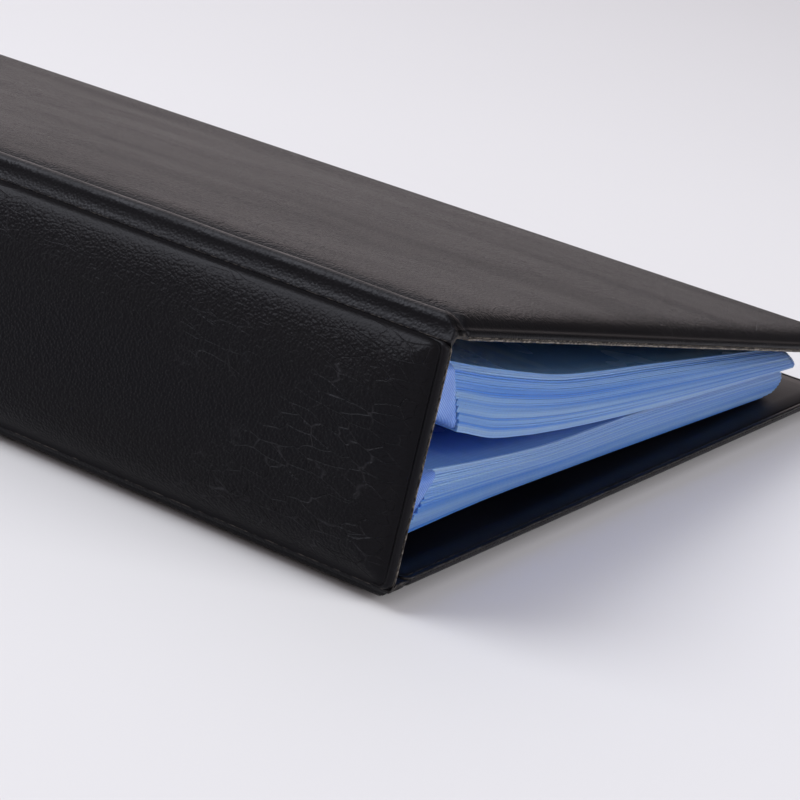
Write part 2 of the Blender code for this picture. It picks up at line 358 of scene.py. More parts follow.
class ShaderSheet(NodeSheet):
    """A new material's nodes."""

    def __init__(self, name: str) -> None:
        """Starts a material of this name with its Principled shader."""
        self.material = bpy.data.materials.new(name)
        self.material.use_nodes = True
        super().__init__(self.material.node_tree)
        self.shader = self.tree.nodes["Principled BSDF"]

    def set(self, **values: object) -> None:
        """Sets or feeds the shader's own sockets, named with underscores for spaces."""
        for name, value in values.items():
            self.put(value, self.shader.inputs[name.replace("_", " ")])

    def own_place(self, turn: Colour = (0.0, 0.0, 0.0), scale: Colour = (1.0, 1.0, 1.0)) -> Socket:
        """Object coordinates, turned by some radians and stretched along each axis."""
        place = self.add("ShaderNodeTexCoord").outputs["Object"]
        turned = self.add("ShaderNodeMapping", Vector=place, Rotation=turn).outputs["Vector"]
        return self.add("ShaderNodeMapping", Vector=turned, Scale=scale).outputs["Vector"]

    def noise(self, place: Socket, scale: float, detail: float = 2.0) -> Socket:
        """A cloudy pattern from 0 to 1, with this many blobs to the metre."""
        shape = {"Scale": scale, "Detail": detail, "Roughness": 0.5}
        return self.add("ShaderNodeTexNoise", Vector=place, **shape).outputs["Fac"]

    def pebble(self, place: Socket) -> Socket:
        """The leatherette's pebble grain, about half a millimetre across."""
        rounded = {"feature": "SMOOTH_F1"}
        cells = self.add("ShaderNodeTexVoronoi", rounded, Vector=place, Scale=2000.0)
        return self.spread(cells.outputs["Distance"], 0.1, 0.7, 1.0, 0.0)

    def hatch(self, place: Socket, direction: str, scale: float, waver: float) -> Socket:
        """Parallel ridges, about three times the scale to the metre."""
        bands = {"wave_type": "BANDS", "bands_direction": direction}
        shape = {"Scale": scale, "Distortion": waver, "Detail": 1.0, "Detail_Scale": 0.2}
        return self.add("ShaderNodeTexWave", bands, Vector=place, **shape).outputs["Fac"]

    def attribute(self, name: str) -> Socket:
        """A number painted on the piece's points."""
        return self.add("ShaderNodeAttribute", {"attribute_name": name}).outputs["Fac"]

    def relief(self, heights: Iterable[tuple[Socket, float]]) -> None:
        """Adds up reliefs and gives the sum to the shader.

        Args:
            heights: pairs of a pattern from 0 to 1 and its depth in metres.
        """
        total: object = 0.0
        for pattern, depth in heights:
            total = self.sum("ADD", total, self.times(pattern, depth))
        bump = self.add("ShaderNodeBump", Height=total, Strength=1.0, Distance=1.0)
        self.set(Normal=bump.outputs["Normal"])


@dataclass(frozen=True)
class Finish:
    """What every finish has in common."""

    name: str

    def make(self) -> bpy.types.Material:
        """Builds the material.

        Returns:
            The material.
        """
        sheet = ShaderSheet(self.name)
        self.fill(sheet, sheet.own_place())
        return sheet.material

    def fill(self, sheet: ShaderSheet, place: Socket) -> None:
        """Adds the finish's own nodes.

        Args:
            sheet: the new material.
            place: object coordinates.
        """
        raise NotImplementedError


@dataclass(frozen=True)
class Leatherette(Finish):
    """Black grained plastic leather: fine pebble, crease lines in patches, and a rough cut edge."""

    name: str = "black_leatherette"
    face: Colour = (0.0022, 0.0023, 0.0034)
    worn: Colour = (0.0040, 0.0037, 0.0042)
    cut: Colour = (0.20, 0.18, 0.155)
    dark_cut: Colour = (0.016, 0.014, 0.013)
    # Lighter colour painted along the crease lines: a painted highlight where creases catch the
    # light
    crease_highlight: Colour = (0.030, 0.030, 0.034)
    crease_turn: Colour = (-0.20, 0.0, 0.0)
    crease_stretch: Colour = (1.0, 0.38, 1.0)
    crease_depth: float = 0.00024
    fold_depth: float = 0.00005
    grain_depth: float = 0.00017

    def creases(self, sheet: ShaderSheet, per_metre: float, width: float) -> Socket:
        """A net of long cells parted by thin creases.

        Args:
            sheet: the material.
            per_metre: cells to the metre.
            width: of a crease, in cells.

        Returns:
            0 in a crease and 1 away from it.
        """
        place = sheet.own_place(self.crease_turn, self.crease_stretch)
        swirl = sheet.add("ShaderNodeTexNoise", Vector=place, Scale=per_metre / 2, Detail=2.0)
        bend = (1.3 / per_metre,) * 3
        swirl = swirl.outputs["Color"]
        moved = {"operation": "MULTIPLY_ADD"}
        warped = sheet.add("ShaderNodeVectorMath", moved, i0=swirl, i1=bend, i2=place)
        edges = {"feature": "DISTANCE_TO_EDGE"}
        cells = sheet.add("ShaderNodeTexVoronoi", edges, Vector=warped.outputs[0], Scale=per_metre)
        return sheet.spread(cells.outputs["Distance"], 0.0, width)

    def fill(self, sheet: ShaderSheet, place: Socket) -> None:
        """Adds the grain, the creases with a painted highlight along their lines, the wear and the
        cut edge.
        """
        cloud = sheet.noise(place, 26.0, 3.0)
        patches = sheet.spread(cloud, 0.44, 0.60)
        streak = sheet.noise(sheet.own_place(scale=(1.0, 0.22, 1.0)), 48.0, 5.0)
        fine = sheet.noise(place, 2400.0, 2.0)
        ragged = sheet.noise(place, 1100.0, 4.0)
        crease = sheet.times(self.creases(sheet, 400.0, 0.045), patches)
        fold = sheet.times(self.creases(sheet, 760.0, 0.12), sheet.spread(streak, 0.35, 0.6))
        pebble = sheet.pebble(place)
        cut = sheet.attribute("cut")
        calm = sheet.spread(sheet.attribute("gloss"), 0.0, 1.0, 1.0, 0.10)
        frayed = sheet.times(cut, sheet.spread(ragged, 0.42, 0.66))
        base = sheet.blend(sheet.spread(streak, 0.3, 0.7), self.face, self.worn)
        broken = sheet.spread(sheet.noise(place, 210.0, 3.0), 0.46, 0.62, 0.0, 0.75)
        # Crease lines in patches, painted lighter as a painted highlight
        line = sheet.times(sheet.sum("SUBTRACT", patches, crease), broken)
        base = sheet.blend(sheet.times(line, calm), base, self.crease_highlight)
        dark = sheet.blend(cut, base, self.dark_cut)
        sheet.set(Base_Color=sheet.blend(frayed, dark, self.cut))
        rough = sheet.spread(streak, 0.25, 0.75, 0.44, 0.54)
        rough = sheet.sum("SUBTRACT", rough, sheet.times(sheet.attribute("gloss"), 0.08))
        sheet.set(Roughness=sheet.sum("ADD", rough, sheet.times(cut, 0.35)))
        sheet.set(Specular_IOR_Level=0.135, IOR=1.5, Specular_Tint=(0.90, 0.90, 1.0, 1.0))
        sheet.relief(
            (
                (sheet.times(crease, calm), self.crease_depth),
                (sheet.times(fold, calm), self.fold_depth),
                (sheet.times(pebble, calm), self.grain_depth),
                (fine, 0.00002),
                (sheet.times(ragged, cut), 0.00010),
            )
        )


@dataclass(frozen=True)
class HingeFilm(Finish):
    """The same film pressed smooth at the hinge, with a glossy bead and a cut end."""

    name: str = "hinge_film"
    face: Colour = (0.0030, 0.0030, 0.0038)
    cut: Colour = (0.10, 0.09, 0.08)

    def fill(self, sheet: ShaderSheet, place: Socket) -> None:
        """Adds the fine relief and the cut end."""
        fine = sheet.noise(place, 2200.0, 2.0)
        wave = sheet.noise(sheet.own_place(scale=(1.0, 0.3, 1.0)), 260.0, 2.0)
        pebble = sheet.pebble(place)
        ragged = sheet.noise(place, 700.0, 4.0)
        cut_share = sheet.times(sheet.attribute("cut"), sheet.spread(ragged, 0.46, 0.66))
        sheet.set(Base_Color=sheet.blend(cut_share, self.face, self.cut))
        rough = sheet.spread(wave, 0.3, 0.7, 0.36, 0.46)
        sheet.set(Roughness=sheet.sum("ADD", rough, sheet.times(cut_share, 0.4)))
        sheet.set(Specular_IOR_Level=0.155, IOR=1.5, Specular_Tint=(0.90, 0.90, 1.0, 1.0))
        sheet.relief(((fine, 0.00002), (pebble, 0.00005), (wave, 0.00002)))


@dataclass(frozen=True)
class LinerFilm(Finish):
    """Smooth near-black film inside the covers, with a faint linen grain."""

    name: str = "black_liner"
    face: Colour = (0.0016, 0.0018, 0.0034)
    lifted: Colour = (0.0030, 0.0033, 0.0060)
    cut: Colour = (0.24, 0.215, 0.185)
    dark_cut: Colour = (0.022, 0.019, 0.017)

    def fill(self, sheet: ShaderSheet, place: Socket) -> None:
        """Adds the linen grain and the cut edge."""
        cloud = sheet.noise(place, 35.0, 2.0)
        fine = sheet.noise(place, 1800.0, 2.0)
        weave = sheet.noise(sheet.own_place(scale=(1.0, 0.12, 1.0)), 1400.0, 1.0)
        ragged = sheet.noise(place, 1000.0, 4.0)
        cut = sheet.attribute("cut")
        frayed = sheet.times(cut, sheet.spread(ragged, 0.42, 0.66))
        base = sheet.blend(sheet.spread(cloud, 0.3, 0.7), self.face, self.lifted)
        sheet.set(Base_Color=sheet.blend(frayed, sheet.blend(cut, base, self.dark_cut), self.cut))
        sheet.set(Roughness=sheet.spread(cloud, 0.3, 0.7, 0.38, 0.50))
        sheet.set(Specular_IOR_Level=0.15, IOR=1.5)
        sheet.relief(((fine, 0.00001), (weave, 0.000012), (sheet.times(ragged, cut), 0.0002)))


@dataclass(frozen=True)
class Stuffing(Finish):
    """A hidden layer: foam or greyboard, with its specks or cells."""

    face: Colour
    fleck: Colour
    scale: float
    depth: float

    def fill(self, sheet: ShaderSheet, place: Socket) -> None:
        """Adds the specks or cells."""
        cells = sheet.add("ShaderNodeTexVoronoi", Vector=place, Scale=self.scale)
        cloud = sheet.noise(place, self.scale / 3, 4.0)
        sheet.set(Base_Color=sheet.blend(sheet.spread(cloud, 0.35, 0.65), self.face, self.fleck))
        sheet.set(Roughness=sheet.spread(cloud, 0.2, 0.8, 0.85, 0.97))
        sheet.relief(((cells.outputs["Distance"], self.depth),))


@dataclass(frozen=True)
class PocketFilm(Finish):
    """Clear blue film: cut edges toned leaf by leaf, with a painted highlight and painted shade
    among the tones, and hatched where it is welded.
    """

    name: str = "blue_pocket_film"
    face: Colour = (0.14, 0.31, 0.94)
    weld: Colour = (0.18, 0.36, 0.95)
    cut: Colour = (0.055, 0.205, 0.92)
    bright_cut: Colour = (0.28, 0.48, 1.0)
    hatch_scale: float = 420.0

    def fill(self, sheet: ShaderSheet, place: Socket) -> None:
        """Adds the translucent film and its welds."""
        cloud = sheet.noise(place, 40.0, 2.0)
        ripple = sheet.noise(sheet.own_place(scale=(1.0, 0.35, 1.0)), 120.0, 2.0)
        seam = sheet.attribute("seam")
        rim = sheet.attribute("rim")
        leaf_map = sheet.add("ShaderNodeUVMap", {"uv_map": "leaf"}).outputs["UV"]
        hatch = sheet.hatch(leaf_map, "DIAGONAL", self.hatch_scale, 0.0)
        base = sheet.blend(seam, self.face, self.weld)
        # Cut edges run from cut to bright_cut by the tone, which carries a painted highlight and
        # painted shade
        cut = sheet.blend(sheet.attribute("tone"), self.cut, self.bright_cut)
        sheet.set(Base_Color=sheet.blend(rim, base, cut))
        rough = sheet.spread(cloud, 0.3, 0.7, 0.18, 0.30)
        sheet.set(Roughness=sheet.sum("ADD", rough, sheet.times(rim, 0.25)))
        sheet.set(Specular_IOR_Level=0.25, IOR=1.45, Transmission_Weight=0.08)
        sheet.set(Subsurface_Weight=0.8, Subsurface_Radius=(0.6, 0.8, 1.0), Subsurface_Scale=0.002)
        sheet.relief(((sheet.times(hatch, seam), 0.00002), (ripple, 0.00018)))


@dataclass(frozen=True)
class FusedFilm(Finish):
    """Many films fused into a solid root, hatched finely where they end."""

    name: str = "fused_blue_film"
    face: Colour = (0.10, 0.21, 0.58)
    ridge: Colour = (0.28, 0.43, 0.80)
    hatch_turn: Colour = (0.0, -0.72, 0.0)
    hatch_scale: float = 760.0

    def fill(self, sheet: ShaderSheet, place: Socket) -> None:
        """Adds the hatch along the films' edges."""
        hatch = sheet.hatch(sheet.own_place(turn=self.hatch_turn), "Z", self.hatch_scale, 0.6)
        cloud = sheet.noise(place, 220.0, 3.0)
        ridges = sheet.times(hatch, sheet.spread(cloud, 0.2, 0.7))
        sheet.set(Base_Color=sheet.blend(ridges, self.face, self.ridge))
        sheet.set(Roughness=sheet.spread(cloud, 0.3, 0.7, 0.30, 0.45))
        sheet.set(Specular_IOR_Level=0.4, IOR=1.45)
        sheet.set(Subsurface_Weight=0.4, Subsurface_Radius=(0.5, 0.7, 1.0), Subsurface_Scale=0.0015)
        sheet.relief(((hatch, 0.00004), (cloud, 0.00008)))


# ---- Padded panels


@dataclass(frozen=True)
class EdgeProfile:
    """How a padded panel falls away to its edge."""

    # From the cut edge inwards: (inset, height above the inner face)
    rim: Pairs
    # From the end of the rim inwards: (distance from it, height)
    shoulder: Pairs

    def height(self, inset: float) -> float:
        """The skin's height at a distance from the cut edge."""
        start = self.rim[-1][0]
        points = self.rim[2:] + tuple((start + reach, height) for reach, height in self.shoulder)
        return float(np.interp(inset, *zip(*points)))


# A low welded lip, a groove, then the padding
WELDED_EDGE = EdgeProfile(
    rim=(
        (0.00012, 0.00044), (0.00000, 0.00062), (0.00000, 0.00095), (0.00008, 0.00140),
        (0.00028, 0.00176), (0.00058, 0.00194), (0.00090, 0.00192), (0.00118, 0.00168),
        (0.00138, 0.00138), (0.00160, 0.00120),
    ),
    shoulder=(
        (0.00030, 0.00122), (0.00070, 0.00148), (0.00120, 0.00188), (0.00190, 0.00238),
        (0.00280, 0.00290), (0.00390, 0.00338), (0.00520, 0.00381), (0.00680, 0.00416),
        (0.00860, 0.00439), (0.01120, 0.00450),
    ),
)
# The padding comes down almost to the cut edge
FULL_EDGE = EdgeProfile(
    rim=(
        (0.00012, 0.00044), (0.00000, 0.00062), (0.00000, 0.00082), (0.00005, 0.00112),
        (0.00016, 0.00142), (0.00034, 0.00164), (0.00058, 0.00180), (0.00084, 0.00190),
        (0.00110, 0.00202), (0.00136, 0.00226),
    ),
    shoulder=(
        (0.00030, 0.00258), (0.00070, 0.00296), (0.00115, 0.00330), (0.00170, 0.00362),
        (0.00240, 0.00390), (0.00330, 0.00414), (0.00440, 0.00431), (0.00580, 0.00442),
        (0.00760, 0.00448), (0.01000, 0.00450),
    ),
)


@dataclass
class PaddedPanel:
    """A cover or the spine: an outer skin welded over foam and board to an inner liner."""

    name: str
    body: str
    sizes: AlbumSizes
    reach: float
    second_hinge: bool
    turn: Matrix
    hinge: Vector
    skin_finish: bpy.types.Material
    liner_finish: bpy.types.Material
    seed: int
    margins: tuple[float, float]
    # How pale the cut edges are painted; the back cover's is kept low as painted shade where it
    # lies underneath
    cut_light: float
    edge: EdgeProfile
    wall: float = 0.0008
    edge_step: float = 0.0022
    arc_steps: int = 8
    corner_tightening: float = 0.6
    hinge_groove_inset: float = 0.0003
    swell: float = 0.00035
    swell_start: float = 0.006
    swell_run: float = 0.014
    crown_share: float = 0.25
    # Of the frayed cut edges: how far the skin's and the liner's wander, and how far in
    skin_fray: float = 0.00008
    liner_fray: float = 0.00012
    fray_reach: float = 0.0004
    # The slant, share and rate of their rise and fall
    fray_slant: float = 1.7
    fray_rise: float = 0.4
    fray_rate: float = 900.0
    # The liner's outer face with its weld line, from the cut edge inwards: (inset, height)
    liner_face: Pairs = (
        (0.00000, 0.00010), (0.00012, 0.00000), (0.00070, 0.00000),
        (0.00088, 0.00010), (0.00105, 0.00022), (0.00122, 0.00010),
        (0.00140, 0.00000), (0.00500, -0.00006), (0.01200, -0.00010),
    )
    liner_weld_ring: int = 5
    pressed_height: float = 0.00116
    pressed_run: float = 0.003

    def outline(self, hinge_inset: float, free_inset: float) -> list[tuple[float, float]]:
        """Lays points along the rounded outline, the same number at any inset.

        Args:
            hinge_inset: how far in from an edge beside a hinge.
            free_inset: how far in from an outside edge.

        Returns:
            The points, anticlockwise.
        """
        sizes = self.sizes
        low = self.margins[0] + hinge_inset
        far = self.reach - self.margins[1]
        high = far - (hinge_inset if self.second_hinge else free_inset)
        side = sizes.cover_length / 2 - free_inset
        outer = sizes.square_radius
        if not self.second_hinge:
            outer = max(outer, sizes.corner_radius - self.corner_tightening * free_inset)
        corners = (
            (high, side, outer, 0),
            (low, side, sizes.square_radius, 1),
            (low, -side, sizes.square_radius, 2),
            (high, -side, outer, 3),
        )
        bends = []
        for x, y, radius, quarter in corners:
            radius = min(radius, (high - low) * 0.45)
            centre_x = x - math.copysign(radius, x - (low + high) / 2)
            centre_y = y - math.copysign(radius, y)
            for step in range(self.arc_steps + 1):
                angle = math.radians(90 * (quarter + step / self.arc_steps))
                x, y = centre_x + radius * math.cos(angle), centre_y + radius * math.sin(angle)
                bends.append((x, y))
        across = max(4, round((self.reach - 2 * sizes.corner_radius) / self.edge_step))
        along = max(4, round((sizes.cover_length - 2 * sizes.corner_radius) / self.edge_step))
        points = []
        size = self.arc_steps + 1
        for corner in range(4):
            points += bends[corner * size : (corner + 1) * size]
            start = bends[(corner + 1) * size - 1]
            end = bends[((corner + 1) * size) % len(bends)]
            count = across if corner % 2 == 0 else along
            for step in range(1, count):
                share = step / count
                points.append(tuple(a + (b - a) * share for a, b in zip(start, end)))
        return points

    def hinge_inset(self, inset: float) -> float:
        """The inset beside a hinge that goes with an inset at an outside edge."""
        groove = self.edge.rim[-1][0]
        if inset <= groove:
            return inset * self.hinge_groove_inset / groove
        return inset - groove + self.hinge_groove_inset

    def skin_heights(self) -> list[tuple[float, float]]:
        """The skin's whole profile, from its cut edge to its middle line."""
        profile = list(self.edge.rim)
        profile += [(profile[-1][0] + inset, height) for inset, height in self.edge.shoulder]
        middle = (self.reach - sum(self.margins)) / 2
        inset = profile[-1][0]
        while inset < middle - 0.010:
            inset += min(0.008, (middle - inset) / 2.2)
            profile.append((inset, self.sizes.panel_thickness))
        return profile

    def pressed(self, x: float, y: float, inset: float, height: float) -> float:
        """A height, held down where the rim runs along a hinge, which has no lip.

        Args:
            x: distance from the hinge line.
            y: place along the hinge.
            inset: of the ring.
            height: of the ring away from the hinges.

        Returns:
            The height there.
        """
        if inset > self.edge.rim[-1][0] or height <= self.pressed_height:
            return height
        from_hinge = x - self.margins[0]
        if self.second_hinge:
            from_hinge = min(from_hinge, self.reach - self.margins[1] - x)
        if from_hinge > self.hinge_inset(inset) + 0.0003:
            return height
        from_end = self.sizes.cover_length / 2 - inset - abs(y)
        share = min(max(from_end / self.pressed_run, 0.0), 1.0)
        return height + (self.pressed_height - height) * share

    def loft(self, name: str, profile: list[tuple[float, float]]) -> Loft:
        """Draws a surface in from the panel's outline, ring by ring.

        Args:
            name: the piece's name.
            profile: insets and heights.

        Returns:
            The loft, still open for its caps.
        """
        rings = []
        for inset, height in profile:
            outline = self.outline(self.hinge_inset(inset), inset)
            rings.append([Vector((x, y, self.pressed(x, y, inset, height))) for x, y in outline])
        loft = Loft(name, rings[0])
        for ring in rings[1:]:
            loft.draw_to(ring)
        loft.cap()
        return loft

    def fray(self, obj: bpy.types.Object, rings: np.ndarray, last: int, depth: float) -> None:
        """Makes a cut edge slightly uneven.

        Args:
            obj: the piece, still in its own frame.
            rings: each vertex's ring.
            last: the innermost ring that moves.
            depth: how far the edge wanders.
        """
        rng = random.Random(self.seed)
        waves = sines(rng, 9, (180, 1400), (0, 6.28), (0.3, 1.0))
        middle_x = self.reach / 2
        for vertex, ring in zip(obj.data.vertices, rings):
            if ring > last:
                continue
            x, y, _ = vertex.co
            along = x + self.fray_slant * y
            wander = sum(size * math.sin(rate * along + phase) for rate, phase, size in waves) / 5
            side = self.sizes.cover_length / 2
            if side - abs(y) < self.fray_reach:
                vertex.co.y += math.copysign(depth * wander, y)
            elif x > middle_x and not self.second_hinge:
                vertex.co.x += depth * wander
            vertex.co.z += self.fray_rise * depth * math.sin(self.fray_rate * along)

    def swell_skin(self, obj: bpy.types.Object, rings: np.ndarray, first: int) -> None:
        """Crowns the padding a little and lets it dip unevenly, as foam under film does.

        Args:
            obj: the skin, still in its own frame.
            rings: each vertex's ring.
            first: the first ring of the padding.
        """
        rng = random.Random(self.seed + 50)
        waves = sines(rng, 10, (20, 90), (20, 90), (0, 6.28), (0.2, 1.0))
        half = self.sizes.cover_length / 2
        co = points_of(obj)
        x, y = co[:, 0], co[:, 1]
        edge_x = np.minimum(x, self.reach - x) - self.swell_start
        edge_y = half - np.abs(y) - self.swell_start
        edge = np.clip(np.minimum(edge_x, edge_y) / self.swell_run, 0, 1)
        edge = edge * edge * (3 - 2 * edge)
        wave = sum(size * np.sin(a * x + b * y + phase) for a, b, phase, size in waves) / 6
        lift = edge * (self.crown_share + (1 - self.crown_share) * wave) * self.swell
        lift[rings < first] = 0.0
        lift = np.minimum(lift, 0.0) if self.name == "back_cover" else lift
        co[:, 2] += lift
        move_points(obj, co)

    def build_skin(self) -> bpy.types.Object:
        """Makes the outer skin.

        Returns:
            The skin.
        """
        loft = self.loft(f"{self.name}_padded_skin", self.skin_heights())
        obj = loft.done()
        rings = loft.numbers("ring")
        self.fray(obj, rings, 3, self.skin_fray)
        self.swell_skin(obj, rings, len(self.edge.rim))
        paint(obj, "cut", np.where(rings <= 1, 0.8 * self.cut_light, 0.0))
        past_rim = rings - len(self.edge.rim)
        paint(obj, "gloss", np.where(rings >= 2, np.clip(1.0 - (past_rim - 1) / 5, 0.0, 1.0), 0.0))
        apply_modifier(obj, "SOLIDIFY", thickness=self.wall, offset=-1.0)
        settle(obj, Matrix.Translation(self.hinge) @ self.turn)
        smooth(obj, 50)
        obj.data.materials.append(self.skin_finish)
        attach(obj, self.body)
        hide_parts(f"{self.name}_skin")
        return obj

    def build_liner(self) -> bpy.types.Object:
        """Makes the inner liner, pressed down along the weld line.

        Returns:
            The liner.
        """
        profile = [(0.0, self.sizes.liner_thickness), *self.liner_face]
        loft = self.loft(f"{self.name}_inner_liner", profile)
        loft.cap_first()
        obj = loft.done()
        rings = loft.numbers("ring")
        self.fray(obj, rings, 1, self.liner_fray)
        weld = np.where(rings == self.liner_weld_ring, 0.25, 0.0)
        paint(obj, "cut", np.where(rings <= 1, self.cut_light, weld))
        settle(obj, Matrix.Translation(self.hinge) @ self.turn)
        smooth(obj, 40)
        obj.data.materials.append(self.liner_finish)
        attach(obj, self.body)
        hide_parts(f"{self.name}_liner")
        return obj

    def build(self) -> None:
        """Makes the panel's pieces."""
        self.build_skin()
        self.build_liner()
        LOG.info("padded panel %s", self.name)


# ---- Hinge strips


@dataclass
class HingeStrip:
    """The welded film that bends between the spine and a cover, with a padded bead along it."""

    name: str
    node: str
    sizes: AlbumSizes
    hinge: Vector
    cover_angle: float
    outwards: int
    cover: str
    finish: bpy.types.Material
    spine_margin: float
    end_profile: EdgeProfile
    bead_centre: tuple[float, float] = (0.0017, 0.0021)
    bead_radius: float = 0.0018
    bead_start: float = -28.0
    bead_turn: float = 216.0
    bead_wander: float = 0.014
    bead_squeeze: float = 0.35
    bead_steps: int = 22
    end_fade: float = 0.0060
    end_lip: float = 0.0004
    pieces_along: int = 150
    # From the film's edge on the cover to the bead: (along the cover, out of it)
    cover_side: Pairs = ((0.0046, 0.0006), (0.0040, 0.00085), (0.00365, 0.00098))
    # Back under the bead to that edge: (along the cover, out of it)
    under_side: Pairs = ((0.0004, 0.0003), (0.0046, 0.0004))
    # Beside the spine, from the bead to the film's hidden edge: (down the spine, outwards)
    spine_side: Pairs = (
        (-0.00050, 0.00062), (-0.00010, 0.00092), (0.00022, 0.00108),
        (0.00032, 0.00112), (0.00042, 0.00108), (0.00100, 0.00080),
        (0.00130, 0.00060), (0.00130, 0.00044), (0.00060, 0.00030),
    )
    # The welded line, in that list
    weld_point: int = 3
    bend_reach: float = 0.0016

    def axes(self) -> tuple[Vector, Vector, Vector, Vector]:
        """Directions along the cover, out of it, along the spine and out of that."""
        side = self.outwards
        along = Vector((math.cos(self.cover_angle), 0.0, math.sin(self.cover_angle)))
        out = side * Vector((-along.z, 0.0, along.x))
        turn = self.cover_angle + side * (1.5 * math.pi + self.sizes.lean)
        down = Vector((math.cos(turn), 0.0, math.sin(turn)))
        off = side * Vector((down.z, 0.0, -down.x))
        return along, out, down, off

    def section(self) -> tuple[list[Vector], list[float]]:
        """The strip's closed outline about the hinge line.

        Returns:
            Its points, and which of them lie on a cut or welded line.
        """
        along, out, down, off = self.axes()
        points = [u * along + w * out for u, w in self.cover_side]
        weld = [0.0] * len(points)
        for step in range(self.bead_steps + 1):
            angle = math.radians(self.bead_start + self.bead_turn * step / self.bead_steps)
            u = self.bead_centre[0] + self.bead_radius * math.cos(angle)
            w = self.bead_centre[1] + self.bead_radius * math.sin(angle)
            points.append(u * along + w * out)
            weld.append(0.0)
        shift = self.spine_margin - self.sizes.spine_margins[1]
        for i, (depth, reach) in enumerate(self.spine_side):
            points.append((depth + shift) * down + reach * off)
            weld.append(1.0 if i == self.weld_point else 0.0)
        points += [u * along + w * out for u, w in self.under_side]
        weld += [0.0] * len(self.under_side)
        return points, weld

    def build(self) -> bpy.types.Object:
        """Makes the strip.

        Returns:
            The strip.
        """
        section, weld = self.section()
        half = self.sizes.cover_length / 2
        rng = random.Random(len(self.name))
        waves = sines(rng, 6, (60, 420), (0, 6.28))
        bead = range(len(self.cover_side) + 1, len(self.cover_side) + self.bead_steps)
        along, out, down, _ = self.axes()

        def held_down(point: Vector, most: float) -> Vector:
            """Where a point of the bead lies when the bead is pressed down to a height."""
            u, w = point.dot(along), point.dot(out)
            if w <= most:
                return point
            inwards = 1 if u < self.bead_centre[0] else -1
            return (u + self.bead_squeeze * (w - most) * inwards) * along + most * out

        def ring(y: float) -> list[Vector]:
            """The section's points at one place along the strip."""
            wave = sum(math.sin(rate * y + phase) for rate, phase in waves) / 3
            wander = 1.0 + self.bead_wander * wave
            most = self.end_profile.height(half - abs(y))
            points = []
            for i, point in enumerate(section):
                scaled = point * (wander if i in bead else 1.0)
                lowered = held_down(scaled, most)
                points.append(Vector((lowered.x, y, lowered.z)))
            return points

        loft = Loft(self.name, ring(-half))
        pieces = self.pieces_along
        places = [-half + 2 * half * step / pieces for step in range(1, pieces)]
        from_ends = [self.end_lip] + [self.end_fade * (step / 10) ** 2 for step in range(3, 11)]
        places += [side * (half - distance) for side in (-1, 1) for distance in from_ends]
        places = sorted(places) + [half]
        for y in places:
            loft.draw_to(ring(y))
        loft.cap()
        loft.cap_first()
        obj = loft.done()
        rings = loft.numbers("ring")
        order = loft.numbers("order")
        at_end = (rings == 0) | (rings == loft.rings - 1)
        paint(obj, "cut", np.where(at_end, 0.5, np.array(weld)[order]))
        settle(obj, Matrix.Translation(self.hinge))
        smooth(obj, 60)
        obj.data.materials.append(self.finish)
        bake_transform(obj)
        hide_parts(self.node)
        LOG.info("hinge strip %s", self.name)
        return obj


# ---- Leaves and the blocks that bind them


@dataclass(frozen=True)
class LeafCurve:
    """How one leaf lies: a smooth curve from its root through the places where it settles."""

    knots: Pairs

    def height(self, x: float) -> float:
        """Finds the curve's height.

        Args:
            x: place across the album.

        Returns:
            The height at x, straight on past the last knot.
        """
        knots = self.knots
        slopes = []
        for i in range(len(knots)):
            before, after = knots[max(i - 1, 0)], knots[min(i + 1, len(knots) - 1)]
            slopes.append((after[1] - before[1]) / (after[0] - before[0]))
        for i in range(len(knots) - 1):
            (x0, z0), (x1, z1) = knots[i], knots[i + 1]
            if x <= x1:
                t = (x - x0) / (x1 - x0)
                if t < 0:
                    return z0 + slopes[0] * (x - x0)
                rise = (2 * t**3 - 3 * t**2 + 1) * z0 + (3 * t**2 - 2 * t**3) * z1
                bend = (t**3 - 2 * t**2 + t) * slopes[i] + (t**3 - t**2) * slopes[i + 1]
                return rise + (x1 - x0) * bend
        return knots[-1][1] + slopes[-1] * (x - knots[-1][0])

    def walk(self, distances: Sequence[float]) -> list[tuple[Vector, Vector]]:
        """Finds points along the curve.

        Args:
            distances: rising distances from the root; those under zero go straight back from it.

        Returns:
            For each, its point and the direction across the leaf, upwards.
        """
        step = 0.0002
        x, travelled = self.knots[0][0], 0.0
        found = []
        for distance in distances:
            while travelled < distance:
                rise = self.height(x + step) - self.height(x)
                share = min(1.0, (distance - travelled) / math.hypot(step, rise))
                x += step * share
                travelled += math.hypot(step, rise) * share
                if share < 1.0:
                    travelled = distance
            slope = (self.height(x + step) - self.height(x)) / step
            along = Vector((1.0, 0.0, slope)).normalized()
            point = Vector((x, 0.0, self.height(x))) + along * min(distance, 0.0)
            found.append((point, Vector((-along.z, 0.0, along.x))))
        return found


